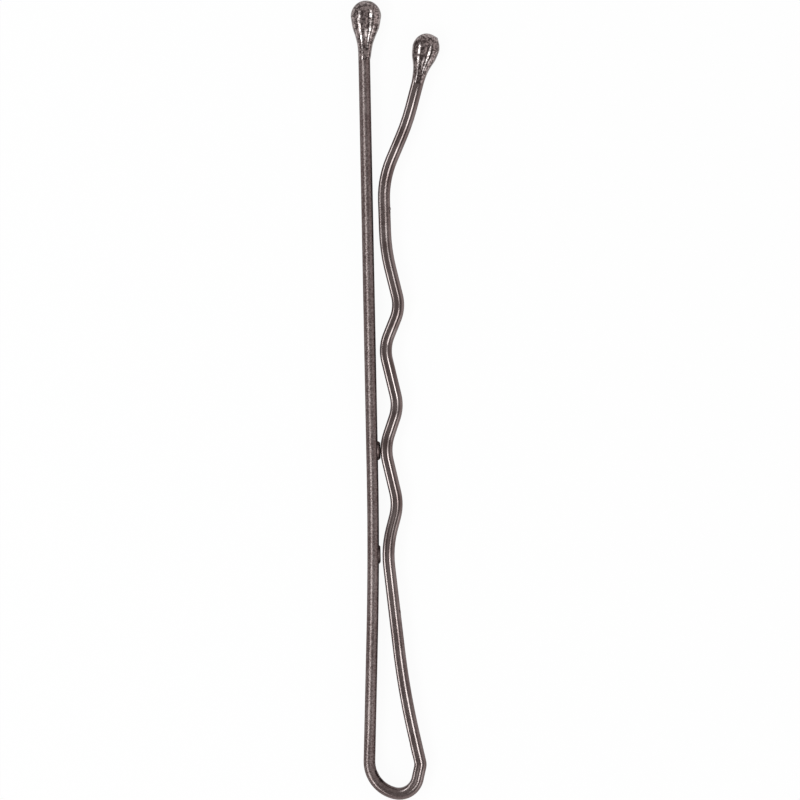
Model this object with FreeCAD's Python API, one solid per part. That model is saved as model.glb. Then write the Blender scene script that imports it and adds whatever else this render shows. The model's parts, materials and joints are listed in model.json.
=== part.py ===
"""Bobby pin, in millimetres.

One flat spring wire is bent into a bow with two legs. One leg is straight, the other has three
crimps, a long hollow and a flared end. Each leg ends in a resin tip, and two lumps of lacquer sit
on the straight leg where the crimps come close to it.

The pin lies flat: X runs across the legs, Y along them towards the tips, Z through the wire's width.
Heights along the pin are measured from the bow's left corner, offsets from the straight leg.
"""
import FreeCAD, Part
import math
import os

Vector = FreeCAD.Vector

# Wire, rolled flat with round edges
wire_thickness = 0.74
wire_width = 1.40
bend_room_share = 0.995

# Straight leg: a long lean outwards above its gentle bend, a short one below it
straight_leg_height = 48.95
straight_bend_height = 14.83
straight_bend_radius = 240.0
straight_top_lean = 0.68
straight_foot_lean = 0.33

# Bow: a wide corner under the straight leg, a tight one, and a sharp shoulder
bow_span = 2.83
bow_drop = 0.75
bow_wide_radius = 2.08
bow_tight_radius = 1.20
shoulder_height = 1.40
shoulder_flare = 0.47
shoulder_radius = 0.60

# Place where each leg flexes, about a seventh of its length above the bow
flex_height = 9.00

# Lower run of the crimped leg, which leans in towards the first crimp
run_bend_rise = 4.60
run_bend_offset = 2.10
run_bend_radius = 50.0
run_length = 9.18

# Crimps: troughs come close to the straight leg, crests stand away from it
crimp_pitch = 6.36
crimp_gap = 0.10
crimp_rise = 0.92
crimp_radius = 2.60
trough_gap_shares = (0.90, 0.65, 1.50)
trough_radius_shares = (2.50, 1.17, 0.98)
crest_lead_shares = (0.43, 0.41, 0.40)
crest_rise_shares = (0.83, 1.00, 1.16)
crest_radius_shares = (1.25, 1.00, 0.93)

# Long hollow above the crimps, then the flare
hollow_foot_rise = 3.66
hollow_foot_gap = 0.38
hollow_foot_radius = 11.50
hollow_length = 4.50
hollow_top_gap = 0.32
hollow_top_radius = 6.20
flare_rise = 3.60
flare_offset = 2.65
flare_radius = 13.70
flare_length = 4.70
flare_end_offset = 3.98

# Resin tips: round crown, then a taper that runs out on the wire
straight_ball_diameter = 1.95
straight_crown_height = 1.02
straight_neck_length = 2.75
straight_tip_offset = 0.165
crimped_ball_diameter = 1.74
crimped_crown_height = 0.97
crimped_neck_length = 2.30
crimped_tip_offset = -0.05
resin_film = 0.03
neck_place_shares = (1.00, 0.82, 0.63, 0.45, 0.26)
neck_swell_shares = (0.00, 0.08, 0.21, 0.46, 0.79)
crown_angles = (0.0, 42.0, 78.0)
neck_squareness = 3.0
ball_squareness = 2.0
tip_outline_points = 16

# Lacquer beads on the straight leg's inner face, opposite the crimps' troughs
bead_length = 1.30
bead_cross_radius = 0.40
bead_sink = 0.02
bead_clearance = 0.05
lower_bead_reach_share = 0.40


def run_between(start, end):
    """Length and unit direction of the straight run from one corner to the next."""
    run = end - start
    return run.Length, run * (1 / run.Length)


def turn_at(before, corner, after):
    """Angle that a path turns by at a corner."""
    return (corner - before).getAngle(after - corner)


def bend_at(before, corner, after, radius):
    """Start, middle and end of the tangent arc that rounds a corner."""
    half_turn = turn_at(before, corner, after) / 2
    _, inwards = run_between(before, corner)
    _, outwards = run_between(corner, after)
    tangent_length = radius * math.tan(half_turn)
    towards_centre = (outwards - inwards).normalize()
    middle = corner + towards_centre * (radius / math.cos(half_turn) - radius)
    return corner - inwards * tangent_length, middle, corner + outwards * tangent_length


def fitted_radii(corners, radii):
    """The bends' radii, less where two bends would meet on the run between them."""
    turns = [turn_at(*corners[index:index + 3]) for index in range(len(radii))]
    tangents = [radius * math.tan(turn / 2) for radius, turn in zip(radii, turns)]
    wanted = [0, *tangents, 0]
    room_shares = []
    for index, (start, end) in enumerate(zip(corners, corners[1:])):
        room, _ = run_between(start, end)
        room_shares.append(bend_room_share * room / (wanted[index] + wanted[index + 1]))
    return [radius * min(1, *room_shares[index:index + 2]) for index, radius in enumerate(radii)]


def wire_path(corners, radii):
    """Straight runs between corners, joined by tangent arcs."""
    edges = []
    place = corners[0]
    fitted = fitted_radii(corners, radii)
    for before, corner, after, radius in zip(corners, corners[1:], corners[2:], fitted):
        start, middle, end = bend_at(before, corner, after, radius)
        edges.append(Part.LineSegment(place, start).toShape())
        edges.append(Part.Arc(start, middle, end).toShape())
        place = end
    edges.append(Part.LineSegment(place, corners[-1]).toShape())
    return Part.Wire(edges)


def wire_section(centre, along):
    """Flat wire's section, square to the path: two flats across Z joined by round edges."""
    across = along.cross(Vector(0, 0, 1)) * (wire_thickness / 2)
    flat_end = Vector(0, 0, (wire_width - wire_thickness) / 2)
    edge_end = Vector(0, 0, wire_width / 2)
    left_low, left_high = centre - across - flat_end, centre - across + flat_end
    right_low, right_high = centre + across - flat_end, centre + across + flat_end
    return Part.Wire([
        Part.LineSegment(left_low, left_high).toShape(),
        Part.Arc(left_high, centre + edge_end, right_high).toShape(),
        Part.LineSegment(right_high, right_low).toShape(),
        Part.Arc(right_low, centre - edge_end, left_low).toShape(),
    ])


def bent_wire(path):
    """Solid wire along a path that lies flat."""
    first_run = path.OrderedEdges[0]
    start, end = first_run.valueAt(first_run.FirstParameter), first_run.valueAt(first_run.LastParameter)
    _, along = run_between(start, end)
    shell = Part.BRepOffsetAPI.MakePipeShell(path)
    shell.setBiNormalMode(Vector(0, 0, 1))
    shell.add(wire_section(start, along))
    shell.build()
    shell.makeSolid()
    return shell.shape()


def straight_leg_line(height):
    """Straight leg's centre line at a height, on the sharp form without its gentle bend."""
    rise = height - straight_bend_height
    if rise > 0:
        lean = straight_top_lean * rise / (straight_leg_height - straight_bend_height)
    else:
        lean = -straight_foot_lean * rise / straight_bend_height
    return Vector(-lean, height, 0)


def beside_straight_leg(height, offset):
    """Point at an offset from the straight leg's centre line."""
    return straight_leg_line(height) + Vector(offset, 0, 0)


def crimp_corners(first_height):
    """Corners and radii of the crimps, a trough and a crest for each."""
    corners = []
    radii = []
    for index, gap_share in enumerate(trough_gap_shares):
        trough_height = first_height + index * crimp_pitch
        trough_offset = wire_thickness + crimp_gap * gap_share
        crest_height = trough_height + crimp_pitch * crest_lead_shares[index]
        crest_offset = trough_offset + crimp_rise * crest_rise_shares[index]
        corners.append(beside_straight_leg(trough_height, trough_offset))
        corners.append(beside_straight_leg(crest_height, crest_offset))
        radii.append(crimp_radius * trough_radius_shares[index])
        radii.append(crimp_radius * crest_radius_shares[index])
    return corners, radii


def point_on_run(start, end, height):
    """Point at a height on a straight run."""
    return start + (end - start) * ((height - start.y) / (end.y - start.y))


def superellipse(centre, across, half_across, half_width, squareness):
    """Closed smooth outline square to a tip's axis, from round to nearly the wire's flat form."""
    points = []
    for index in range(tip_outline_points):
        angle = 2 * math.pi * index / tip_outline_points
        cosine, sine = math.cos(angle), math.sin(angle)
        side = math.copysign(abs(cosine) ** (2 / squareness), cosine) * half_across
        rise = math.copysign(abs(sine) ** (2 / squareness), sine) * half_width
        points.append(centre + across * side + Vector(0, 0, rise))
    outline = Part.BSplineCurve()
    outline.interpolate(points, PeriodicFlag=True, Parameters=list(range(tip_outline_points + 1)))
    return Part.Wire([outline.toShape()])


def resin_tip(leg, wire_end, along, diameter, crown_height, neck_length, offset):
    """Drop of resin round a wire's end: a loft from the wire's own form to a round crown."""
    across = along.cross(Vector(0, 0, 1))
    film_across = wire_thickness / 2 + resin_film
    film_width = wire_width / 2 + resin_film
    ball_across = max(diameter / 2, film_across)
    ball_width = max(diameter / 2, film_width)
    outlines = []
    for place_share, swell_share in zip(neck_place_shares, neck_swell_shares):
        centre = wire_end - along * (neck_length * place_share) + across * (offset * swell_share)
        half_across = film_across + (ball_across - film_across) * swell_share
        half_width = film_width + (ball_width - film_width) * swell_share
        squareness = neck_squareness + (ball_squareness - neck_squareness) * swell_share
        outlines.append(superellipse(centre, across, half_across, half_width, squareness))
    for angle in crown_angles:
        narrowing = math.cos(math.radians(angle))
        centre = wire_end + along * (crown_height * math.sin(math.radians(angle))) + across * offset
        outlines.append(superellipse(centre, across, ball_across * narrowing, ball_width * narrowing,
                                     ball_squareness))
    return Part.makeLoft(outlines, True).cut(leg)


def across_to_trough(trough_index):
    """Place on the straight leg's inner face nearest to a crimp's trough, and the clear step to it."""
    trough_bend = crimped_path.OrderedEdges[4 * trough_index + 1]
    distance, nearest, _ = straight_path.distToShape(trough_bend)
    on_leg, on_trough = nearest[0]
    _, outwards = run_between(on_leg, on_trough)
    return on_leg + outwards * (wire_thickness / 2), outwards, distance - wire_thickness


def lacquer_bead(leg, foot, outwards, reach):
    """Low lump on the straight leg's inner face: an arc turned about a line inside the wire."""
    along = Vector(0, 0, 1).cross(outwards)
    axis_foot = foot + outwards * (reach - bead_cross_radius)
    end_foot = foot - outwards * bead_sink
    half_length = along * (bead_length / 2)
    outline = Part.Wire([
        Part.Arc(end_foot - half_length, foot + outwards * reach, end_foot + half_length).toShape(),
        Part.LineSegment(end_foot + half_length, axis_foot + half_length).toShape(),
        Part.LineSegment(axis_foot + half_length, axis_foot - half_length).toShape(),
        Part.LineSegment(axis_foot - half_length, end_foot - half_length).toShape(),
    ])
    return Part.Face(outline).revolve(axis_foot, along).cut(leg)


# Corners of the whole wire, from the straight leg's tip round the bow to the crimped leg's tip
straight_end = straight_leg_line(straight_leg_height)
straight_bend = straight_leg_line(straight_bend_height)
bow_wide_corner = straight_leg_line(0)
bow_tight_corner = bow_wide_corner + Vector(bow_span, -bow_drop, 0)
shoulder = Vector(bow_tight_corner.x + shoulder_flare, shoulder_height, 0)
run_bend = beside_straight_leg(shoulder_height + run_bend_rise, run_bend_offset)
crimps, crimp_radii = crimp_corners(run_bend.y + run_length)
hollow_foot_height = crimps[-1].y + hollow_foot_rise
hollow_top_height = hollow_foot_height + hollow_length
flare_height = hollow_top_height + flare_rise
hollow_foot = beside_straight_leg(hollow_foot_height, wire_thickness + hollow_foot_gap)
hollow_top = beside_straight_leg(hollow_top_height, wire_thickness + hollow_top_gap)
flare = beside_straight_leg(flare_height, flare_offset)
crimped_end = beside_straight_leg(flare_height + flare_length, flare_end_offset)
straight_flex = straight_leg_line(flex_height)
crimped_flex = point_on_run(run_bend, crimps[0], flex_height)

# The straight leg's flats stop where the resin starts, so that the outer one is clear along its length
_, straight_along = run_between(straight_bend, straight_end)
_, crimped_along = run_between(flare, crimped_end)
straight_resin_foot = straight_end - straight_along * straight_neck_length
straight_path = Part.Wire([
    Part.LineSegment(straight_end, straight_resin_foot).toShape(),
    *wire_path([straight_resin_foot, straight_bend, straight_flex], [straight_bend_radius]).OrderedEdges,
])
bow_path = wire_path([straight_flex, bow_wide_corner, bow_tight_corner, shoulder, run_bend, crimped_flex],
                     [bow_wide_radius, bow_tight_radius, shoulder_radius, run_bend_radius])
crimped_path = wire_path([crimped_flex, *crimps, hollow_foot, hollow_top, flare, crimped_end],
                         [*crimp_radii, hollow_foot_radius, hollow_top_radius, flare_radius])

straight_leg = bent_wire(straight_path)
bow = bent_wire(bow_path)
crimped_leg = bent_wire(crimped_path)

straight_leg_tip = resin_tip(straight_leg, straight_end, straight_along, straight_ball_diameter,
                             straight_crown_height, straight_neck_length, straight_tip_offset)
crimped_leg_tip = resin_tip(crimped_leg, crimped_end, crimped_along, crimped_ball_diameter,
                            crimped_crown_height, crimped_neck_length, crimped_tip_offset)

lower_foot, lower_outwards, lower_gap = across_to_trough(0)
upper_foot, upper_outwards, upper_gap = across_to_trough(1)
lower_reach = lower_gap * lower_bead_reach_share
upper_reach = upper_gap - bead_clearance
lower_lacquer_bead = lacquer_bead(straight_leg, lower_foot, lower_outwards, lower_reach)
upper_lacquer_bead = lacquer_bead(straight_leg, upper_foot, upper_outwards, upper_reach)

nodes = {
    "straight_leg": straight_leg,
    "bow": bow,
    "crimped_leg": crimped_leg,
    "straight_leg_tip": straight_leg_tip,
    "crimped_leg_tip": crimped_leg_tip,
    "upper_lacquer_bead": upper_lacquer_bead,
    "lower_lacquer_bead": lower_lacquer_bead,
}

# The origin lies under the middle of the pin, at the lowest point of the larger tip
box = Part.makeCompound(list(nodes.values())).optimalBoundingBox(False, False)
to_origin = Vector(-box.Center.x, -box.Center.y, -box.ZMin)

os.makedirs("parts", exist_ok=True)
for name, shape in nodes.items():
    shape.translate(to_origin)
    shape.exportStep("parts/" + name + ".step")
    print(name, "solids", len(shape.Solids), "valid", shape.isValid(), "volume", round(shape.Volume, 4))
print("size", round(box.XLength, 3), round(box.YLength, 3), round(box.ZLength, 3))
print("gaps at the crimps", round(lower_gap, 3), round(upper_gap, 3))
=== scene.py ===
"""Bobby pin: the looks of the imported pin, laid out as a Blender add-on.

Lengths are metres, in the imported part's frame: X across the legs, Y along them towards the tips,
Z up through the wire's width. Heights run along Y from the bow's left corner, and offsets run
along X from the straight leg's centre line.
"""

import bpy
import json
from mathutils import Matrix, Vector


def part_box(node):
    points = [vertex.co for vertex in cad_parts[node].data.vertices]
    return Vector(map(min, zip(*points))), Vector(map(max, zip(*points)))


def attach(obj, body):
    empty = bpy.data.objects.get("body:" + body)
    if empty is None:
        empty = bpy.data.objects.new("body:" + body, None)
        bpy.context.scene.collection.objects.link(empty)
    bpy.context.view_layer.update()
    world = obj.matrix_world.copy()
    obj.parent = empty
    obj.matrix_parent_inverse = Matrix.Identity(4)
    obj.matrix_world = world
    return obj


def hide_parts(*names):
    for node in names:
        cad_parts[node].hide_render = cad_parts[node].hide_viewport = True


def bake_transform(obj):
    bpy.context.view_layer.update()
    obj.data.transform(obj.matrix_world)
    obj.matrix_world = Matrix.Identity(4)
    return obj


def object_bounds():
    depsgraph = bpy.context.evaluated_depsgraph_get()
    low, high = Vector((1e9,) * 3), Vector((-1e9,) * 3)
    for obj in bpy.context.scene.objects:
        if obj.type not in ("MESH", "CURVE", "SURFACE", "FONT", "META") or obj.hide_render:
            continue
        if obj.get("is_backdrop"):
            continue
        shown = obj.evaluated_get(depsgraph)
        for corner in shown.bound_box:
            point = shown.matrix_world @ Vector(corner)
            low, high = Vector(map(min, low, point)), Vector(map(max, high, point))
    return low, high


bl_info = {
    "name": "Bobby pin",
    "version": (1, 0, 0),
    "blender": (4, 5, 0),
    "location": "3D View > Sidebar > Bobby pin",
    "description": "Lacquered wire, resin tips and lacquer lumps of a bobby pin on a white floor",
    "category": "Add Mesh",
}

import copy
import json
import math

import bmesh
import bpy
from bpy.props import FloatProperty, FloatVectorProperty, IntProperty, PointerProperty
from mathutils import Vector

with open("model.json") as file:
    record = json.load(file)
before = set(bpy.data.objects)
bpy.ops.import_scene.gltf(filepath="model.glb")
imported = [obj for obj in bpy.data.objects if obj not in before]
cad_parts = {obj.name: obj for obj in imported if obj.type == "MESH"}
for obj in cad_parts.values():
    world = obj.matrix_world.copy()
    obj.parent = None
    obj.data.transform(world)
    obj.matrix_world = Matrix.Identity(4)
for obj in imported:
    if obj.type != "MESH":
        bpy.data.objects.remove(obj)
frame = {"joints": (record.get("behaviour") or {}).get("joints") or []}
CAD_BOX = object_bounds()
FLEX_PLACES = {joint["child"]: Vector(joint["pos_m"]) for joint in frame["joints"]}
UP = Vector((0, 0, 1))
RIGHT = Vector((1, 0, 0))

# Flat wire
WIRE_THICKNESS = 0.00074
WIRE_WIDTH = 0.00140

# Middle and half width of the groove along the crimped leg's edges, in shares of half the thickness
GROOVE_SHARES = (0.00, 0.27)

# Straight leg, with one gentle bend
STRAIGHT_LEG_HEIGHT = 0.04895
STRAIGHT_BEND_HEIGHT = 0.01483
STRAIGHT_BEND_RADIUS = 0.240
STRAIGHT_TOP_LEAN = 0.00068
STRAIGHT_FOOT_LEAN = 0.00033

# Bow: a wide corner, a tight one and a sharp shoulder
BOW_SPAN = 0.00283
BOW_DROP = 0.00075
BOW_WIDE_RADIUS = 0.00208
BOW_TIGHT_RADIUS = 0.00120
SHOULDER_HEIGHT = 0.00140
SHOULDER_FLARE = 0.00047
SHOULDER_RADIUS = 0.00060
FLEX_HEIGHT = 0.00900
FLEX_LENGTH = 0.00480

# Bow's edges lean from a share of its shank on, and are grooved from a share of its tight corner on
LEAN_START_SHARE = 0.70
GROOVE_FULL_SHARE = 0.60
GROOVE_STEPS = 10
CHANGE_STEPS = 4

# Lower run of the crimped leg
RUN_BEND_HEIGHT = 0.00600
RUN_BEND_OFFSET = 0.00210
RUN_BEND_RADIUS = 0.050

# Three crimps, each with a trough and a crest
CRIMP_FIRST_HEIGHT = 0.01518
CRIMP_PITCH = 0.00636
CRIMP_GAP = 0.00010
CRIMP_RISE = 0.00092
CRIMP_RADIUS = 0.00260
TROUGH_GAP_SHARES = (0.90, 0.65, 1.50)
TROUGH_RADIUS_SHARES = (2.50, 1.17, 0.98)
CREST_LEAD_SHARES = (0.43, 0.41, 0.40)
CREST_RISE_SHARES = (0.83, 1.00, 1.16)
CREST_RADIUS_SHARES = (1.25, 1.00, 0.93)

# Hollow and flare above the crimps: height, offset and bend radius of each corner
HOLLOW_FOOT = (0.034104, 0.00112, 0.01150)
HOLLOW_TOP = (0.038604, 0.00106, 0.00620)
FLARE = (0.042204, 0.00265, 0.01370)
CRIMPED_END = (0.046904, 0.00398)

# Groove's loss of depth under the tip, and the share of the last run over which it comes
GROOVE_FADE = 0.42
GROOVE_FADE_SHARE = 0.50

# Polish, from 0 for satin to 1 for gloss, and the lengths over which it changes; polish also lightens the lacquer's
# colour as a painted sheen
BOW_POLISH = 0.60
BOW_POLISH_START = 0.0045
BOW_POLISH_FULL = 0.0015
CRIMPED_FIRST_POLISH = 0.55
CRIMPED_POLISH_LENGTH = 0.0080
HOLLOW_DULLING = 0.60
HOLLOW_FOOT_LENGTH = 0.0012
HOLLOW_TOP_START = 0.0002
HOLLOW_TOP_END = 0.0006
BEAD_POLISH = 0.5

# Resin tips: ball diameter, crown height, neck length and offset across the wire
STRAIGHT_TIP = (0.00195, 0.00102, 0.00275, 0.000165)
CRIMPED_TIP = (0.00174, 0.00097, 0.00230, -0.000050)
NECK_PLACE_SHARES = (1.00, 0.82, 0.63, 0.45, 0.26, 0.00)
NECK_SWELL_SHARES = (0.00, 0.08, 0.21, 0.46, 0.79, 1.00)
NECK_COVER = 1.045
NECK_OFFSET_EASE = 0.5
NECK_RINGS = 18
CROWN_RINGS = 10
TIP_SIDES = 72
TIP_SQUARENESS = 3.4

# Start of the resin inside the wire, in shares of the neck's length and of the wire's section
RESIN_START_SHARE = 1.02
RESIN_START_SIZE = 0.90

# Channel along the tips: depth, middle and half width in shares of half the tip,
# and the neck's growth where it begins and where it is full
CHANNEL_DEPTH_SHARE = 0.075
CHANNEL_SHARES = (0.20, 0.20)
CHANNEL_START = 0.00
CHANNEL_FULL = 0.18

# Blunt corner on the crimped leg's tip: place from the ball's middle, reach and size
TIP_CORNER = Vector((0.00066, 0.00062, 0))
TIP_CORNER_REACH = 0.00008
TIP_CORNER_SIZE = 0.00045

# Lacquer beads: reach from the straight leg, swell before they are pressed flat,
# height in shares of the wire's width, rounding, depth in the wire and unevenness
UPPER_BEAD_REACH = 0.000165
LOWER_BEAD_REACH = 0.000100
BEAD_BULGE = 1.6
BEAD_HEIGHT_SHARE = 0.47
BEAD_SUBDIVISIONS = 5
BEAD_ROUND = 0.00004
BEAD_ROUND_SEGMENTS = 3
BEAD_SINK = 0.00008
BEAD_UNEVENNESS = 0.000002
BEAD_SEED = 3

# Dried specks of lacquer: height above the wire's middle in shares of its width, size down its side,
# and depth in the wire and unevenness in shares of their reach
SPECK_SUBDIVISIONS = 3
SPECK_HEIGHT_SHARE = 0.36
SPECK_DEPTH = 0.00020
SPECK_SINK_SHARE = 1 / 3
SPECK_UNEVENNESS_SHARE = 1 / 16

# Modelling: points this near are one, cuts catch points this near, and flatter edges are smooth
MERGE_DISTANCE = 1e-8
CUT_DISTANCE = 1e-7
SMOOTH_ANGLE = math.radians(40)

# Lacquer's noises: features in shares of the grain's, and the squeeze that makes drawn streaks
STREAK_SCALE = 0.80
STREAK_SQUEEZE = (1, 0.02, 1)
PATCH_SCALE = 0.09
BLOTCH_SCALE = 0.40

# Resin: shares of the noises in its shade, the range in which that goes from dark to light, relief and coat
RESIN_GRAIN = 0.65
RESIN_BLOTCHES = 0.35
RESIN_SHADE_RANGE = (0.44, 0.59)
RESIN_RELIEF = 0.010
RESIN_COAT = 0.5
COAT_ROUGHNESS = 0.06
COAT_IOR = 1.7

# Wire: the same for its lacquer, with grain where it is satin and streaks where it is polished
WIRE_GRAIN = 0.75
WIRE_STREAKS = 0.45
WIRE_PATCHES = 0.25
POLISHED_PATCHES = 0.30
# Where the wire is polished its lacquer is painted lighter: a painted sheen that stands in for its brighter
# reflections
POLISHED_PAINTED_SHEEN = 0.05
WIRE_SHADE_RANGE = (0.37, 0.63)
GRAIN_RELIEF = 0.85
STREAK_RELIEF = 0.03

# Both: metal in the lacquer, uneven gloss, and the relief's strength and depth in shares of the grain
METAL_SHARE = 0.82
GLOSS_CHANGE = 0.06
RELIEF_STRENGTH = 0.5
RELIEF_DEPTH_SHARE = 0.16

# Softboxes: name, nearer and farther edge along X, lower and upper edge along Y, share of the radiance
SOFTBOXES = (
    ("softbox_lower_left", -0.068, -0.160, -0.170, -0.012, 1.05),
    ("softbox_lower_left_edge", -0.068, -0.160, -0.012, 0.000, 0.50),
    ("softbox_middle_left", -0.070, -0.150, 0.000, 0.012, 0.25),
    ("softbox_upper_left", -0.058, -0.125, 0.018, 0.110, 0.80),
    ("softbox_top_left", -0.058, -0.125, 0.110, 0.230, 0.30),
    ("softbox_lower_right", 0.085, 0.220, -0.150, -0.036, 0.20),
)

# Studio: the ceiling and the far wall are dimmer, over these ranges of a direction's Z and Y,
# and the right wall is brighter
WHITE = (1, 1, 1, 1)
WALL_COLOUR = (1, 0.93, 0.92, 1)
CEILING_RANGE = (0.80, 0.985)
CEILING_DIMMING = 0.58
FAR_WALL_RANGE = (0.05, 0.50)
FAR_WALL_DIMMING = 0.35
RIGHT_WALL_GAIN = 0.35

# Floor: its paint, and how much of it shows as plain white beside its shaded paint
FLOOR_SIZE = 4
FLOOR_COLOUR = (0.85, 0.85, 0.85, 1)
FLOOR_WHITENESS = 0.95

# Photo's middle, seen from the bow's left corner, and the width that it shows
PHOTO_MIDDLE = Vector((0.001649, 0.024565, 0))
PHOTO_WIDTH = 0.05088
NEAREST_VIEW = 0.01


class WireSizes(bpy.types.PropertyGroup):
    """Section of the wire and how finely it is modelled."""

    thickness: FloatProperty(
        name="Thickness", description="Wire's size across the flats",
        default=WIRE_THICKNESS, subtype="DISTANCE", unit="LENGTH", precision=5)
    width: FloatProperty(
        name="Width", description="Wire's size between its round edges",
        default=WIRE_WIDTH, subtype="DISTANCE", unit="LENGTH", precision=5)
    section_points: IntProperty(
        name="Section points", description="Points round the wire, four times a number plus two",
        default=94, min=22)
    ring_step: FloatProperty(
        name="Ring step", description="Distance between rings on a straight run",
        default=0.0006, subtype="DISTANCE", unit="LENGTH", precision=5)
    bend_step: FloatProperty(
        name="Bend step", description="Turn between rings on a bend",
        default=math.radians(3.5), subtype="ANGLE", unit="ROTATION")
    inner_squareness: FloatProperty(
        name="Inner squareness", description="Form of the crimped leg's edges towards the straight leg: 2 is round",
        default=5.5, min=2.0)
    outer_squareness: FloatProperty(
        name="Outer squareness", description="Form of the crimped leg's edges on the far side: 2 is round",
        default=3.6, min=2.0)
    groove_depth: FloatProperty(
        name="Groove depth", description="Rolled groove along the crimped leg's edges",
        default=0.000024, subtype="DISTANCE", unit="LENGTH", precision=6)
    lacquer_coat: FloatProperty(
        name="Lacquer coat", description="Thicker lacquer on each flat of the crimped leg",
        default=0.000016, subtype="DISTANCE", unit="LENGTH", precision=6)
    bow_lean: FloatProperty(
        name="Bow lean", description="Slope of the bow's edges down to its inner side",
        default=0.16, min=0.0)
    plain_squareness: FloatProperty(
        name="Plain squareness", description="Form of the straight leg's edges: 2 is round",
        default=2.25, min=2.0)


class FinishLooks(bpy.types.PropertyGroup):
    """Colours and gloss of the lacquer and resin."""

    lacquer: FloatVectorProperty(
        name="Lacquer", description="Bronze lacquer", subtype="COLOR", size=4,
        default=(0.231, 0.188, 0.183, 1))
    lacquer_shade: FloatVectorProperty(
        name="Lacquer shade", description="Darker patches of the lacquer", subtype="COLOR", size=4,
        default=(0.114, 0.082, 0.079, 1))
    # The beads are lumps of lacquer, painted darker than the wire's: painted shade for the narrow gap between the
    # legs where they sit
    bead_with_painted_shade: FloatVectorProperty(
        name="Bead", description="Thick lacquer of the beads", subtype="COLOR", size=4,
        default=(0.190, 0.147, 0.142, 1))
    edge_tint: FloatVectorProperty(
        name="Edge tint", description="Reflection at a glancing angle", subtype="COLOR", size=4,
        default=(0.32, 0.29, 0.28, 1))
    resin: FloatVectorProperty(
        name="Resin", description="Light specks of the tips' resin", subtype="COLOR", size=4,
        default=(0.410, 0.340, 0.330, 1))
    resin_shade: FloatVectorProperty(
        name="Resin shade", description="Dark ground of the tips' resin", subtype="COLOR", size=4,
        default=(0.066, 0.046, 0.044, 1))
    resin_edge_tint: FloatVectorProperty(
        name="Resin edge tint", description="Resin's reflection at a glancing angle", subtype="COLOR", size=4,
        default=(0.45, 0.41, 0.40, 1))
    satin_roughness: FloatProperty(
        name="Satin roughness", description="Straight leg", default=0.31, subtype="FACTOR")
    gloss_roughness: FloatProperty(
        name="Gloss roughness", description="Crimped leg and tips", default=0.09, subtype="FACTOR")
    grain: FloatProperty(
        name="Grain", description="Size of the lacquer's grain",
        default=0.00011, subtype="DISTANCE", unit="LENGTH", precision=6)


class StageSizes(bpy.types.PropertyGroup):
    """Camera and light."""

    camera_distance: FloatProperty(
        name="Camera distance", description="Height of the camera above the wire's middle",
        default=0.5, subtype="DISTANCE", unit="LENGTH")
    softbox_radiance: FloatProperty(
        name="Softbox radiance", description="Brightness of the softboxes' faces", default=7.5)
    wall_radiance: FloatProperty(
        name="Wall radiance", description="Brightness of the studio's walls", default=0.68)
    softbox_colour: FloatVectorProperty(
        name="Softbox colour", description="Slightly cool white", subtype="COLOR", size=3,
        default=(0.91, 1.0, 1.0))
    softbox_height: FloatProperty(
        name="Softbox height", description="Height of the softboxes above the floor",
        default=0.25, subtype="DISTANCE", unit="LENGTH")


def left_of(along):
    """Direction to the left of a run that lies flat."""
    return UP.cross(along)


class Run:
    """Straight stretch of the wire."""

    def __init__(self, start, end):
        self.start = start
        self.end = end
        self.length = (end - start).length
        self.along = (end - start).normalized()

    def model(self, wire):
        """Extrudes the selected ring along the run."""
        steps = max(1, round(self.length / wire.ring_step))
        for _ in range(steps):
            bpy.ops.mesh.extrude_region_move(TRANSFORM_OT_translate={"value": (self.end - self.start) / steps})

    def locate(self, point):
        """Length along the run and distance to its left of a point."""
        along = (point - self.start).dot(self.along)
        return along, (point - self.start).dot(left_of(self.along))

    def place(self, along, across):
        """Point at a length along the run and a distance to its left."""
        return self.start + self.along * along + left_of(self.along) * across

    def heading(self, along):
        """Turn from the Y axis at a length along the run."""
        return math.atan2(-self.along.x, self.along.y)

    def part(self, first, last):
        """The run between two shares of its length."""
        return Run(self.start.lerp(self.end, first), self.start.lerp(self.end, last))


class Bend:
    """Round stretch of the wire, tangent to the runs at a corner."""

    def __init__(self, before, corner, after, radius):
        inwards = (corner - before).normalized()
        outwards = (after - corner).normalized()
        self.turn = math.atan2(inwards.cross(outwards).z, inwards.dot(outwards))
        tangent_length = radius * math.tan(abs(self.turn) / 2)
        self.start = corner - inwards * tangent_length
        self.end = corner + outwards * tangent_length
        self.side = math.copysign(1, self.turn)
        self.radius = radius
        self.centre = self.start + left_of(inwards) * (radius * self.side)
        self.length = radius * abs(self.turn)
        self.along = inwards

    def model(self, wire):
        """Spins the selected ring round the bend."""
        steps = max(1, round(abs(self.turn) / wire.bend_step), round(self.length / wire.ring_step))
        bpy.ops.mesh.spin(steps=steps, angle=-self.turn, center=self.centre, axis=UP)

    def locate(self, point):
        """Length along the bend and distance to its left of a point."""
        arm, first = point - self.centre, self.start - self.centre
        arm.z = first.z = 0
        angle = math.atan2(first.cross(arm).z, first.dot(arm)) * self.side
        return angle * self.radius, (self.radius - arm.length) * self.side

    def place(self, along, across):
        """Point at a length along the bend and a distance to its left."""
        arm = self.start - self.centre
        angle = along / self.radius * self.side
        turned = arm * math.cos(angle) + left_of(arm) * math.sin(angle)
        return self.centre + turned * ((self.radius - across * self.side) / self.radius)

    def heading(self, along):
        """Turn from the Y axis at a length along the bend."""
        return math.atan2(-self.along.x, self.along.y) + along / self.radius * self.side

    def part(self, first, last):
        """The bend between two shares of its length."""
        part = copy.copy(self)
        part.start, part.end = (self.place(self.length * share, 0) for share in (first, last))
        part.turn, part.length = self.turn * (last - first), self.length * (last - first)
        part.along = left_of(part.start - self.centre).normalized() * self.side
        return part


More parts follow.
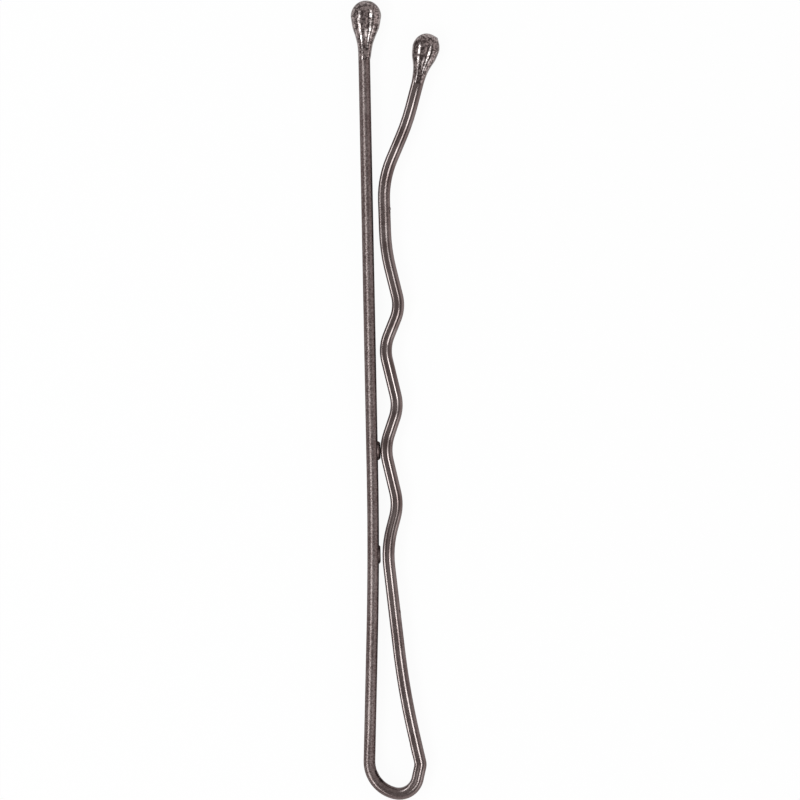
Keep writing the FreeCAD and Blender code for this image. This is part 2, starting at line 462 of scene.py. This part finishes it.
class WirePath:
    """Runs and bends through a list of corners."""

    def __init__(self, corners, radii):
        self.stretches = []
        place = corners[0]
        for before, corner, after, radius in zip(corners, corners[1:], corners[2:], radii):
            bend = Bend(before, corner, after, radius)
            self.stretches += [Run(place, bend.start), bend]
            place = bend.end
        self.stretches.append(Run(place, corners[-1]))
        self.length = sum(stretch.length for stretch in self.stretches)

    def locate(self, point):
        """Length along the path and distance to its left of the place nearest to a point."""
        best = None
        passed = 0
        for stretch in self.stretches:
            along, across = stretch.locate(point)
            kept = min(max(along, 0), stretch.length)
            miss = math.hypot(along - kept, across)
            if best is None or miss < best[0]:
                best = miss, passed + kept, across
            passed += stretch.length
        return best[1], best[2]

    def place(self, height, across):
        """Point beside the path where it passes a height."""
        for stretch in self.stretches:
            low, high = sorted((stretch.start.y, stretch.end.y))
            if low <= height <= high:
                share = (height - stretch.start.y) / (stretch.end.y - stretch.start.y)
                return stretch.place(stretch.length * share, across)
        raise ValueError(f"the path doesn't reach {height}")


def leg_point(height, offset=0):
    """Point at a height and an offset from the straight leg's centre line, seen from the bow's left corner."""
    rise = height - STRAIGHT_BEND_HEIGHT
    if rise > 0:
        lean = STRAIGHT_TOP_LEAN * rise / (STRAIGHT_LEG_HEIGHT - STRAIGHT_BEND_HEIGHT)
    else:
        lean = -STRAIGHT_FOOT_LEAN * rise / STRAIGHT_BEND_HEIGHT
    return Vector((offset - lean, height, 0))


# Bow's left corner, from the straight leg's flex place on the wire's outer face
FLEX_ALONG = (leg_point(STRAIGHT_BEND_HEIGHT) - leg_point(FLEX_HEIGHT)).normalized()
DATUM = FLEX_PLACES["straight_leg"] - left_of(FLEX_ALONG) * (WIRE_THICKNESS / 2) - leg_point(FLEX_HEIGHT)


def corner_at(height, offset=0):
    """Point at a height and an offset from the straight leg's centre line, in the part's frame."""
    return DATUM + leg_point(height, offset)


def crimp_corners():
    """Corners and bend radii of the crimps."""
    corners, radii = [], []
    for index, gap_share in enumerate(TROUGH_GAP_SHARES):
        height = CRIMP_FIRST_HEIGHT + index * CRIMP_PITCH
        offset = WIRE_THICKNESS + CRIMP_GAP * gap_share
        corners.append(corner_at(height, offset))
        radii.append(CRIMP_RADIUS * TROUGH_RADIUS_SHARES[index])
        height += CRIMP_PITCH * CREST_LEAD_SHARES[index]
        offset += CRIMP_RISE * CREST_RISE_SHARES[index]
        corners.append(corner_at(height, offset))
        radii.append(CRIMP_RADIUS * CREST_RADIUS_SHARES[index])
    return corners, radii


# Paths of the wire's three stretches
STRAIGHT_CORNERS = [corner_at(height) for height in (FLEX_HEIGHT, STRAIGHT_BEND_HEIGHT, STRAIGHT_LEG_HEIGHT)]
CRIMPS, CRIMP_RADII = crimp_corners()
RUN_BEND = corner_at(RUN_BEND_HEIGHT, RUN_BEND_OFFSET)
CRIMPED_FLEX = RUN_BEND.lerp(CRIMPS[0], (FLEX_HEIGHT - RUN_BEND_HEIGHT) / (CRIMP_FIRST_HEIGHT - RUN_BEND_HEIGHT))
BOW_CORNERS = [
    corner_at(FLEX_HEIGHT),
    corner_at(0),
    corner_at(0) + Vector((BOW_SPAN, -BOW_DROP, 0)),
    corner_at(0) + Vector((BOW_SPAN + SHOULDER_FLARE, SHOULDER_HEIGHT, 0)),
    RUN_BEND,
    CRIMPED_FLEX,
]
STRAIGHT_PATH = WirePath(STRAIGHT_CORNERS, [STRAIGHT_BEND_RADIUS])
BOW_PATH = WirePath(BOW_CORNERS, [BOW_WIDE_RADIUS, BOW_TIGHT_RADIUS, SHOULDER_RADIUS, RUN_BEND_RADIUS])
CRIMPED_PATH = WirePath(
    [CRIMPED_FLEX, *CRIMPS, *(corner_at(*corner[:2]) for corner in (HOLLOW_FOOT, HOLLOW_TOP, FLARE, CRIMPED_END))],
    [*CRIMP_RADII, HOLLOW_FOOT[2], HOLLOW_TOP[2], FLARE[2]])


def smoothstep(low, high, value):
    """Smooth rise from 0 at low to 1 at high."""
    share = min(max((value - low) / (high - low), 0), 1)
    return share * share * (3 - 2 * share)


def start_piece(name):
    """Names the primitive that was just added, puts its place in its mesh and opens it for modelling."""
    piece = bpy.context.object
    piece.name = name
    piece.data.name = name
    bpy.ops.object.transform_apply(location=True, rotation=True, scale=True)
    bpy.ops.object.mode_set(mode="EDIT")
    bpy.ops.mesh.select_all(action="SELECT")
    return piece


def finish_piece():
    """Closes a piece's ends, merges its doubles and turns its faces outwards."""
    bpy.ops.mesh.select_all(action="SELECT")
    bpy.ops.mesh.remove_doubles(threshold=MERGE_DISTANCE)
    bpy.ops.mesh.fill_holes(sides=0)
    bpy.ops.mesh.normals_make_consistent(inside=False)
    bpy.ops.object.mode_set(mode="OBJECT")
    bpy.ops.object.shade_smooth_by_angle(angle=SMOOTH_ANGLE)


def ring_points(piece):
    """Numbers and places of the points that are selected."""
    mesh = bmesh.from_edit_mesh(piece.data)
    return [(point.index, point.co.copy()) for point in mesh.verts if point.select]


def select_points(piece, chosen):
    """Selects the points with these numbers, and nothing else."""
    bpy.ops.mesh.select_all(action="DESELECT")
    mesh = bmesh.from_edit_mesh(piece.data)
    mesh.verts.ensure_lookup_table()
    for index in chosen:
        mesh.verts[index].select_set(True)
    mesh.select_flush(True)
    bmesh.update_edit_mesh(piece.data)


def shape_ring(piece, centre, across, half_width, rise, spread=0):
    """Lifts each point of the selected ring off its middle, and spreads it, by its place across."""
    ring = ring_points(piece)
    for index, place in ring:
        share = (place - centre).dot(across) / half_width
        lift = UP * (rise(share) * math.copysign(1, place.z - centre.z))
        select_points(piece, [index])
        bpy.ops.transform.translate(value=lift + across * (share * spread))
    select_points(piece, [index for index, _ in ring])


def draw_changing(piece, stretch, wire, change, steps=CHANGE_STEPS, spread=0):
    """Draws the selected ring along a stretch, while its section changes step by step."""
    for number in range(steps):
        part = stretch.part(number / steps, (number + 1) / steps)
        part.model(wire)
        across = (part.place(part.length, wire.thickness) - part.end).normalized()
        shape_ring(piece, part.end, across, wire.thickness / 2, lambda share: change(share) / steps, spread / steps)


def squared(share, squareness):
    """Height of a rounded edge at a share of its half width: 2 is a half circle."""
    return max(0, 1 - abs(share) ** squareness) ** (1 / squareness)


def swell(share, middle, half_width):
    """Height share of a soft ridge, or depth share of a soft groove."""
    return math.exp(-(((share - middle) / half_width) ** 2))


def plain_rise(wire):
    """How far the straight leg's edges depart from half circles, across the wire."""
    radius = wire.thickness / 2

    def rise(share):
        return radius * (squared(share, wire.plain_squareness) - squared(share, 2))

    return rise


def leaning_rise(wire):
    """How far the bow's edges depart from half circles: they slope down to its inner side."""
    plain = plain_rise(wire)

    def rise(share):
        return plain(share) - wire.bow_lean * wire.thickness / 2 * share

    return rise


def groove(wire, share):
    """Height of the rolled groove along the crimped leg's edges, across the wire."""
    return -wire.groove_depth * swell(share, *GROOVE_SHARES)


def grooved_rise(wire):
    """How far the crimped leg's rolled edges depart from half circles, across the wire."""
    radius = wire.thickness / 2

    def rise(share):
        squareness = wire.inner_squareness if share > 0 else wire.outer_squareness
        return radius * (squared(share, squareness) - squared(share, 2)) + groove(wire, share)

    return rise


def start_wire(name, path, wire, rise, spread=0):
    """Opens a wire's section at the start of its path: half circles moved apart by the flats, then shaped."""
    first = path.stretches[0]
    bpy.ops.object.select_all(action="DESELECT")
    bpy.ops.mesh.primitive_circle_add(
        vertices=wire.section_points, radius=wire.thickness / 2,
        location=first.start, rotation=(math.pi / 2, 0, first.heading(0)))
    piece = start_piece(name)
    flat = UP * ((wire.width - wire.thickness) / 2)
    for side in (1, -1):
        bpy.ops.mesh.select_all(action="SELECT")
        half = [index for index, place in ring_points(piece) if (place.z - first.start.z) * side > 0]
        select_points(piece, half)
        bpy.ops.transform.translate(value=flat * side)
    bpy.ops.mesh.select_all(action="SELECT")
    shape_ring(piece, first.start, left_of(first.along), wire.thickness / 2, rise, spread)
    return piece


def add_specks(wire, specks):
    """Adds dried specks of lacquer to the wire that is open: stretch, share of its length, side, length, reach."""
    for number, (stretch, share, side, length, reach) in enumerate(specks):
        place = stretch.place(stretch.length * share, side * (wire.thickness / 2 - reach * SPECK_SINK_SHARE))
        bpy.ops.mesh.select_all(action="DESELECT")
        bpy.ops.mesh.primitive_ico_sphere_add(
            subdivisions=SPECK_SUBDIVISIONS, radius=1, location=place + UP * (wire.width * SPECK_HEIGHT_SHARE),
            rotation=(0, 0, stretch.heading(stretch.length * share)), scale=(reach, length / 2, SPECK_DEPTH))
        bpy.ops.transform.vertex_random(offset=reach * SPECK_UNEVENNESS_SHARE, seed=number)


def lay_straight(piece, path, polish):
    """Keeps each point's place on the wire as if it lay straight, and its polish, for the material."""
    laid, polished = [], []
    for point in piece.data.vertices:
        along, across = path.locate(point.co)
        laid += (across, along, point.co.z)
        polished.append(polish(along))
    piece.data.attributes.new("laid_straight", "FLOAT_VECTOR", "POINT").data.foreach_set("vector", laid)
    piece.data.attributes.new("polish", "FLOAT", "POINT").data.foreach_set("value", polished)


class Value:
    """Socket of a node tree, joined to others by Python's operators."""

    def __init__(self, tree, socket):
        self.tree = tree
        self.socket = socket

    def math(self, operation, first, second):
        """Result of a math node."""
        return self.tree.node("ShaderNodeMath", {"operation": operation}, {0: first, 1: second})

    def __add__(self, other):
        return self.math("ADD", self, other)

    def __radd__(self, other):
        return self.math("ADD", other, self)

    def __sub__(self, other):
        return self.math("SUBTRACT", self, other)

    def __rsub__(self, other):
        return self.math("SUBTRACT", other, self)

    def __mul__(self, other):
        return self.math("MULTIPLY", self, other)

    def __rmul__(self, other):
        return self.math("MULTIPLY", other, self)

    def smooth(self, low, high):
        """Smooth rise from 0 at low to 1 at high."""
        return self.tree.node(
            "ShaderNodeMapRange", {"interpolation_type": "SMOOTHSTEP"},
            {"Value": self, "From Min": low, "From Max": high})


class Tree:
    """Node tree of a material or the world."""

    def __init__(self, owner):
        owner.use_nodes = True
        self.nodes = owner.node_tree.nodes
        self.links = owner.node_tree.links
        self.nodes.clear()

    def node(self, kind, settings=None, inputs=None, output=0):
        """Adds a node, with its settings first, and returns one of its outputs."""
        made = self.nodes.new(kind)
        for name, value in (settings or {}).items():
            setattr(made, name, value)
        for name, value in (inputs or {}).items():
            if isinstance(value, Value):
                self.links.new(value.socket, made.inputs[name])
            else:
                made.inputs[name].default_value = value
        return Value(self, made.outputs[output]) if made.outputs else None

    def mix_colour(self, share, first, second):
        """Colour between two others."""
        return self.node("ShaderNodeMix", {"data_type": "RGBA"}, {0: share, 6: first, 7: second}, 2)

    def noise(self, place, scale, detail, stretch=(1, 1, 1)):
        """Soft noise from 0 to 1, with so many features to a metre."""
        stretched = self.node("ShaderNodeVectorMath", {"operation": "MULTIPLY"}, {0: place, 1: stretch})
        return self.node("ShaderNodeTexNoise", {}, {"Vector": stretched, "Scale": scale, "Detail": detail})


def lacquer_material(name, looks, place_of, polish_of, colours, edge_tint, resin=False):
    """Bronze lacquer: grainy and satin where it isn't polished, with drawn streaks and a painted sheen, a lighter
    colour, where it is.
    """
    material = bpy.data.materials.new(name)
    tree = Tree(material)
    place = place_of(tree)
    polish = polish_of(tree)
    grain = tree.noise(place, 1 / looks.grain, 3)
    streaks = tree.noise(place, STREAK_SCALE / looks.grain, 1, STREAK_SQUEEZE)
    patches = tree.noise(place, PATCH_SCALE / looks.grain, 4)
    blotches = tree.noise(place, BLOTCH_SCALE / looks.grain, 1)
    if resin:
        shade = (grain * RESIN_GRAIN + blotches * RESIN_BLOTCHES).smooth(*RESIN_SHADE_RANGE)
        relief = grain * RESIN_RELIEF + blotches * RESIN_RELIEF
    else:
        rough = 1 - polish
        shade = grain * (rough * WIRE_GRAIN) + streaks * (polish * WIRE_STREAKS)
        shade = shade + patches * (WIRE_PATCHES + polish * POLISHED_PATCHES)
        # Painted sheen: the colour is made lighter where the wire is polished, standing in for its brighter
        # reflections
        shade = (shade + polish * POLISHED_PAINTED_SHEEN).smooth(*WIRE_SHADE_RANGE)
        relief = grain * (rough * GRAIN_RELIEF) + streaks * (polish * STREAK_RELIEF)
    roughness = looks.satin_roughness - polish * (looks.satin_roughness - looks.gloss_roughness)
    roughness = roughness + (patches - 0.5) * GLOSS_CHANGE
    bump = tree.node("ShaderNodeBump", {}, {
        "Strength": RELIEF_STRENGTH, "Distance": looks.grain * RELIEF_DEPTH_SHARE, "Height": relief})
    surface = tree.node("ShaderNodeBsdfPrincipled", {}, {
        "Base Color": tree.mix_colour(shade, *colours),
        "Metallic": METAL_SHARE,
        "Roughness": roughness,
        "Specular IOR Level": 0.0,
        "Specular Tint": edge_tint,
        "Coat Weight": RESIN_COAT if resin else 0.0,
        "Coat Roughness": COAT_ROUGHNESS,
        "Coat IOR": COAT_IOR,
        "Normal": bump,
    })
    tree.node("ShaderNodeOutputMaterial", {}, {"Surface": surface})
    return material


def laid_straight(tree):
    """Place on the wire as if it lay straight."""
    return tree.node("ShaderNodeAttribute", {"attribute_name": "laid_straight"}, output="Vector")


def own_polish(tree):
    """Polish that the wire's points hold."""
    return tree.node("ShaderNodeAttribute", {"attribute_name": "polish"}, output="Fac")


def object_place(tree):
    """Place in the piece's own coordinates."""
    return tree.node("ShaderNodeTexCoord", output="Object")


def full_polish(tree):
    """The same polish all over."""
    return 1.0


def bead_polish(tree):
    """Less polish, the same all over."""
    return BEAD_POLISH


def wire_material(looks):
    """Lacquer of the bent wire, shared by its stretches."""
    found = bpy.data.materials.get("lacquered_wire")
    colours = tuple(looks.lacquer_shade), tuple(looks.lacquer)
    return found or lacquer_material(
        "lacquered_wire", looks, laid_straight, own_polish, colours, tuple(looks.edge_tint))


def dress_wire(piece, path, polish, looks):
    """Gives a wire its lacquer."""
    lay_straight(piece, path, polish)
    piece.data.materials.append(wire_material(looks))


class PinStraightLeg(bpy.types.Operator):
    """Models the straight leg"""

    bl_idname = "bobby_pin.straight_leg"
    bl_label = "Straight leg"

    def execute(self, context):
        wire = context.scene.pin_wire
        piece = start_wire("straight_leg_wire", STRAIGHT_PATH, wire, plain_rise(wire))
        for stretch in STRAIGHT_PATH.stretches:
            stretch.model(wire)
        finish_piece()
        dress_wire(piece, STRAIGHT_PATH, lambda along: 0, context.scene.pin_looks)
        start = corner_at(FLEX_HEIGHT)
        start + FLEX_ALONG * FLEX_LENGTH
        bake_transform(piece)
        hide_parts("straight_leg")
        return {"FINISHED"}


class PinBow(bpy.types.Operator):
    """Models the bow, whose edges turn from round to grooved in its tight corner"""

    bl_idname = "bobby_pin.bow"
    bl_label = "Bow"

    def execute(self, context):
        wire = context.scene.pin_wire
        plain, leaning, grooved = plain_rise(wire), leaning_rise(wire), grooved_rise(wire)
        piece = start_wire("bow_wire", BOW_PATH, wire, plain)
        shank, wide_bend, between, tight_bend, *rest = BOW_PATH.stretches
        shank.part(0, LEAN_START_SHARE).model(wire)
        draw_changing(piece, shank.part(LEAN_START_SHARE, 1), wire, lambda share: leaning(share) - plain(share))
        wide_bend.model(wire)
        between.model(wire)
        draw_changing(piece, tight_bend.part(0, GROOVE_FULL_SHARE), wire,
                      lambda share: grooved(share) - leaning(share), GROOVE_STEPS, wire.lacquer_coat)
        for stretch in (tight_bend.part(GROOVE_FULL_SHARE, 1), *rest):
            stretch.model(wire)
        shoulder_bend, lower_run = rest[1:3]
        add_specks(wire, (
            (wide_bend, 0.36, 1, 0.00050, 0.000042),
            (wide_bend, 0.56, 1, 0.00036, 0.000036),
            (shoulder_bend, 0.50, 1, 0.00040, 0.000055),
            (lower_run, 0.38, 1, 0.00046, 0.000042),
            (lower_run, 0.50, 1, 0.00034, 0.000036),
            (lower_run, 0.62, 1, 0.00040, 0.000040)))
        finish_piece()
        shoulder = sum(stretch.length for stretch in BOW_PATH.stretches[:4])

        def polish(along):
            return BOW_POLISH * smoothstep(shoulder - BOW_POLISH_START, shoulder - BOW_POLISH_FULL, along)

        dress_wire(piece, BOW_PATH, polish, context.scene.pin_looks)
        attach(piece, "bow")
        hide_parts("bow")
        return {"FINISHED"}


class PinCrimpedLeg(bpy.types.Operator):
    """Models the crimped leg"""

    bl_idname = "bobby_pin.crimped_leg"
    bl_label = "Crimped leg"

    def execute(self, context):
        wire = context.scene.pin_wire
        piece = start_wire("crimped_leg_wire", CRIMPED_PATH, wire, grooved_rise(wire), wire.lacquer_coat)
        first, *middle, last = CRIMPED_PATH.stretches
        for stretch in (first, *middle):
            stretch.model(wire)
        draw_changing(piece, last.part(0, GROOVE_FADE_SHARE), wire, lambda share: -GROOVE_FADE * groove(wire, share))
        last.part(GROOVE_FADE_SHARE, 1).model(wire)
        hollow_top_bend = middle[-4]
        add_specks(wire, (
            (first, 0.42, -1, 0.00030, 0.000045),
            (hollow_top_bend, 0.72, -1, 0.00026, 0.000070),
            (hollow_top_bend, 0.60, -1, 0.00024, 0.000040)))
        finish_piece()
        hollow_foot, hollow_top = (
            CRIMPED_PATH.locate(corner_at(*corner[:2]))[0] for corner in (HOLLOW_FOOT, HOLLOW_TOP))

        def polish(along):
            dull = smoothstep(hollow_foot, hollow_foot + HOLLOW_FOOT_LENGTH, along)
            dull -= smoothstep(hollow_top - HOLLOW_TOP_START, hollow_top + HOLLOW_TOP_END, along)
            gain = (1 - CRIMPED_FIRST_POLISH) * smoothstep(0, CRIMPED_POLISH_LENGTH, along)
            return (CRIMPED_FIRST_POLISH + gain) * (1 - HOLLOW_DULLING * dull)

        dress_wire(piece, CRIMPED_PATH, polish, context.scene.pin_looks)
        start = first.start
        start + first.along * FLEX_LENGTH
        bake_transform(piece)
        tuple(start)
        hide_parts("crimped_leg")
        return {"FINISHED"}


def eased(places, values, place):
    """Smooth curve through values at rising places."""
    index = max(1, min(len(places) - 1, next(
        (number for number, edge in enumerate(places) if edge >= place), len(places) - 1)))

    def slope(number):
        low, high = max(number - 1, 0), min(number + 1, len(places) - 1)
        return (values[high] - values[low]) / (places[high] - places[low])

    span = places[index] - places[index - 1]
    share = (place - places[index - 1]) / span
    start, end = values[index - 1], values[index]
    leave, arrive = slope(index - 1) * span, slope(index) * span
    square, cube = share ** 2, share ** 3
    return (start * (2 * cube - 3 * square + 1) + leave * (cube - 2 * square + share)
            + end * (3 * square - 2 * cube) + arrive * (cube - square))


def tip_rise(share):
    """How far a tip's section departs from a circle: it is flatter on top."""
    return squared(share, TIP_SQUARENESS) - squared(share, 2)


def tip_stations(sizes, wire):
    """Place along the tip, half sizes, offset and channel of each ring, from inside the wire to the crown."""
    diameter, crown_height, neck_length, offset = sizes
    ball = diameter / 2
    thin, wide = wire.thickness / 2 * NECK_COVER, wire.width / 2 * NECK_COVER
    rising_places = [-share * neck_length for share in NECK_PLACE_SHARES]
    stations = [(-neck_length * RESIN_START_SHARE, thin * RESIN_START_SIZE, wide * RESIN_START_SIZE, 0, 0)]
    for number in range(NECK_RINGS):
        place = -neck_length * (1 - number / NECK_RINGS)
        growth = eased(rising_places, NECK_SWELL_SHARES, place)
        across, width = thin + (ball - thin) * growth, wide + (ball - wide) * growth
        channel = CHANNEL_DEPTH_SHARE * across / width * smoothstep(CHANNEL_START, CHANNEL_FULL, growth)
        stations.append((place, across, width, offset * max(growth, 0) ** NECK_OFFSET_EASE, channel))
    for number in range(CROWN_RINGS):
        angle = math.pi / 2 * number / CROWN_RINGS
        half = ball * math.cos(angle)
        channel = CHANNEL_DEPTH_SHARE * math.cos(angle) ** 2
        stations.append((crown_height * math.sin(angle), half, half, offset, channel))
    return stations, crown_height, offset


def model_tip(name, sizes, wire_end, along, wire):
    """Resin drop: rings drawn along its axis from inside the wire to the crown's pole."""
    stations, crown_height, offset = tip_stations(sizes, wire)
    bpy.ops.object.select_all(action="DESELECT")
    bpy.ops.mesh.primitive_circle_add(vertices=TIP_SIDES, radius=1, rotation=(math.pi / 2, 0, 0))
    piece = start_piece(name)
    shape_ring(piece, Vector(), RIGHT, 1, tip_rise)
    last_across, last_width, last_channel = 1, 1, 0
    centre = Vector()
    for number, (place, across, width, shift, channel) in enumerate(stations):
        move = Vector((shift, place, 0)) - centre
        if number:
            bpy.ops.mesh.extrude_region_move(TRANSFORM_OT_translate={"value": move})
        else:
            bpy.ops.transform.translate(value=move)
        centre += move
        bpy.ops.transform.resize(
            value=(across / last_across, 1, width / last_width), center_override=centre)
        if channel != last_channel:
            deeper = width * (channel - last_channel)
            shape_ring(piece, centre, RIGHT, across, lambda share: -deeper * swell(share, *CHANNEL_SHARES))
        last_across, last_width, last_channel = across, width, channel
    bpy.ops.mesh.extrude_region_move(TRANSFORM_OT_translate={"value": Vector((offset, crown_height, 0)) - centre})
    bpy.ops.mesh.merge(type="CENTER")
    finish_piece()
    piece.location = wire_end
    piece.rotation_euler = (0, 0, math.atan2(-along.x, along.y))
    bpy.ops.object.transform_apply(location=True, rotation=True, scale=True)
    return piece


def draw_corner(piece, place, outwards):
    """Pulls a blunt corner out of a tip, round its point that is nearest to a place."""
    bpy.ops.object.mode_set(mode="EDIT")
    bpy.ops.mesh.select_all(action="SELECT")
    nearest = min(ring_points(piece), key=lambda point: (point[1] - place).length)
    select_points(piece, [nearest[0]])
    bpy.ops.transform.translate(
        value=outwards, use_proportional_edit=True, proportional_edit_falloff="SHARP",
        proportional_size=TIP_CORNER_SIZE)
    bpy.ops.object.mode_set(mode="OBJECT")


class PinTips(bpy.types.Operator):
    """Models the resin tips"""

    bl_idname = "bobby_pin.tips"
    bl_label = "Resin tips"

    def execute(self, context):
        wire = context.scene.pin_wire
        looks = context.scene.pin_looks
        colours = tuple(looks.resin_shade), tuple(looks.resin)
        resin = lacquer_material(
            "speckled_resin", looks, object_place, full_polish, colours, tuple(looks.resin_edge_tint), resin=True)
        for body, path, sizes in (("straight_leg", STRAIGHT_PATH, STRAIGHT_TIP),
                                  ("crimped_leg", CRIMPED_PATH, CRIMPED_TIP)):
            last = path.stretches[-1]
            piece = model_tip(body + "_resin", sizes, last.end, last.along, wire)
            if body == "crimped_leg":
                draw_corner(piece, last.end + TIP_CORNER, TIP_CORNER.normalized() * TIP_CORNER_REACH)
            piece.data.materials.append(resin)
            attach(piece, body)
            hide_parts(body + "_tip")
        return {"FINISHED"}


class PinBeads(bpy.types.Operator):
    """Models the lacquer beads on the straight leg"""

    bl_idname = "bobby_pin.beads"
    bl_label = "Lacquer beads"

    def execute(self, context):
        looks = context.scene.pin_looks
        wire = context.scene.pin_wire
        # The beads' colour is painted darker than the wire's lacquer, a painted shade for the gap between the legs
        colours = tuple(looks.lacquer_shade), tuple(looks.bead_with_painted_shade)
        lacquer = lacquer_material(
            "thick_lacquer_with_painted_shade", looks, object_place, bead_polish, colours, tuple(looks.edge_tint))
        for name, reach in (("upper_lacquer_bead", UPPER_BEAD_REACH), ("lower_lacquer_bead", LOWER_BEAD_REACH)):
            low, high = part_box(name)
            foot = STRAIGHT_PATH.place((low.y + high.y) / 2, -wire.thickness / 2)
            outwards = -left_of(STRAIGHT_PATH.stretches[-1].along)
            bpy.ops.object.select_all(action="DESELECT")
            bpy.ops.mesh.primitive_ico_sphere_add(
                subdivisions=BEAD_SUBDIVISIONS, radius=1, location=foot,
                scale=(reach * BEAD_BULGE, (high.y - low.y) / 2, wire.width * BEAD_HEIGHT_SHARE))
            piece = start_piece(name + "_lump")
            bpy.ops.mesh.bisect(
                plane_co=foot - outwards * BEAD_SINK, plane_no=outwards,
                clear_inner=True, use_fill=True, threshold=CUT_DISTANCE)
            bpy.ops.mesh.select_all(action="SELECT")
            bpy.ops.mesh.bisect(
                plane_co=foot + outwards * reach, plane_no=outwards,
                clear_outer=True, use_fill=True, threshold=CUT_DISTANCE)
            bpy.ops.mesh.bevel(offset=BEAD_ROUND, segments=BEAD_ROUND_SEGMENTS)
            bpy.ops.mesh.select_all(action="SELECT")
            bpy.ops.transform.vertex_random(offset=BEAD_UNEVENNESS, seed=BEAD_SEED)
            finish_piece()
            piece.data.materials.append(lacquer)
            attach(piece, "straight_leg")
            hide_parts(name)
        return {"FINISHED"}


class PinStage(bpy.types.Operator):
    """Sets the floor, the light and the camera"""

    bl_idname = "bobby_pin.stage"
    bl_label = "Stage"

    def execute(self, context):
        stage = context.scene.pin_stage
        context.scene.view_settings.view_transform = "Standard"
        bpy.ops.object.select_all(action="DESELECT")
        bpy.ops.mesh.primitive_plane_add(size=FLOOR_SIZE)
        floor = context.object
        floor.name = "floor"
        floor.data.materials.append(floor_material())
        floor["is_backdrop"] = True
        make_world(context.scene, stage.wall_radiance)
        for name, inner, outer, low, high, share in SOFTBOXES:
            size = Vector((abs(outer - inner), high - low))
            bpy.ops.object.light_add(
                type="AREA", location=((inner + outer) / 2, (low + high) / 2, stage.softbox_height))
            lamp = context.object
            lamp.name = name
            lamp.data.shape = "RECTANGLE"
            lamp.data.color = stage.softbox_colour
            lamp.data.size, lamp.data.size_y = size
            lamp.data.energy = stage.softbox_radiance * share * math.pi * size.x * size.y
        target = DATUM + PHOTO_MIDDLE
        bpy.ops.object.camera_add(location=target + UP * stage.camera_distance, rotation=(0, 0, 0))
        camera = context.object
        camera.data.lens = camera.data.sensor_width * stage.camera_distance / PHOTO_WIDTH
        camera.data.clip_start = NEAREST_VIEW
        context.scene.camera = camera
        return {"FINISHED"}


def floor_material():
    """White floor that keeps a faint shadow."""
    material = bpy.data.materials.new("white_floor")
    tree = Tree(material)
    rays = [tree.node("ShaderNodeLightPath", output=name)
            for name in ("Is Camera Ray", "Is Glossy Ray", "Is Transmission Ray")]
    seen = (rays[0] + rays[1] + rays[2]) * FLOOR_WHITENESS
    matt = tree.node("ShaderNodeBsdfDiffuse", {}, {"Color": FLOOR_COLOUR})
    white = tree.node("ShaderNodeEmission", {}, {"Color": WHITE, "Strength": 1.0})
    surface = tree.node("ShaderNodeMixShader", {}, {0: seen, 1: matt, 2: white})
    tree.node("ShaderNodeOutputMaterial", {}, {"Surface": surface})
    return material


def make_world(scene, wall_radiance):
    """Light walls under a dim ceiling, seen as plain white by the camera."""
    scene.world = bpy.data.worlds.new("studio")
    tree = Tree(scene.world)
    direction = tree.node("ShaderNodeTexCoord", output="Generated")
    height = tree.node("ShaderNodeSeparateXYZ", {}, {0: direction}, output="Z")
    far = tree.node("ShaderNodeSeparateXYZ", {}, {0: direction}, output="Y")
    right = tree.node("ShaderNodeSeparateXYZ", {}, {0: direction}, output="X")
    seen = tree.node("ShaderNodeLightPath", output="Is Camera Ray")
    ceiling = 1 - height.smooth(*CEILING_RANGE) * CEILING_DIMMING
    far_wall = 1 - far.smooth(*FAR_WALL_RANGE) * FAR_WALL_DIMMING
    strength = ceiling * far_wall * (1 + right * RIGHT_WALL_GAIN) * wall_radiance
    strength = strength * (1 - seen) + seen
    colour = tree.mix_colour(seen, WALL_COLOUR, WHITE)
    light = tree.node("ShaderNodeBackground", {}, {"Color": colour, "Strength": strength})
    tree.node("ShaderNodeOutputWorld", {}, {"Surface": light})


class PinPanel(bpy.types.Panel):
    """Lists the pin's pieces and sizes"""

    bl_idname = "VIEW3D_PT_bobby_pin"
    bl_label = "Bobby pin"
    bl_space_type = "VIEW_3D"
    bl_region_type = "UI"
    bl_category = "Bobby pin"

    def draw(self, context):
        for group in (context.scene.pin_wire, context.scene.pin_looks, context.scene.pin_stage):
            box = self.layout.box()
            for name in group.__annotations__:
                box.prop(group, name)
        for operator in OPERATORS:
            self.layout.operator(operator.bl_idname)


OPERATORS = (PinStraightLeg, PinBow, PinCrimpedLeg, PinTips, PinBeads, PinStage)
CLASSES = (WireSizes, FinishLooks, StageSizes, *OPERATORS, PinPanel)


def register():
    for cls in CLASSES:
        bpy.utils.register_class(cls)
    bpy.types.Scene.pin_wire = PointerProperty(type=WireSizes)
    bpy.types.Scene.pin_looks = PointerProperty(type=FinishLooks)
    bpy.types.Scene.pin_stage = PointerProperty(type=StageSizes)


def unregister():
    del bpy.types.Scene.pin_wire, bpy.types.Scene.pin_looks, bpy.types.Scene.pin_stage
    for cls in reversed(CLASSES):
        bpy.utils.unregister_class(cls)


def main():
    """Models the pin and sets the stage."""
    register()
    bpy.ops.bobby_pin.straight_leg()
    bpy.ops.bobby_pin.bow()
    bpy.ops.bobby_pin.crimped_leg()
    bpy.ops.bobby_pin.tips()
    bpy.ops.bobby_pin.beads()
    bpy.ops.bobby_pin.stage()
    boxes = {"cad": CAD_BOX, "visual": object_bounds()}
    {name: [list(corner) for corner in box] for name, box in boxes.items()}


if __name__ == "__main__":
    main()
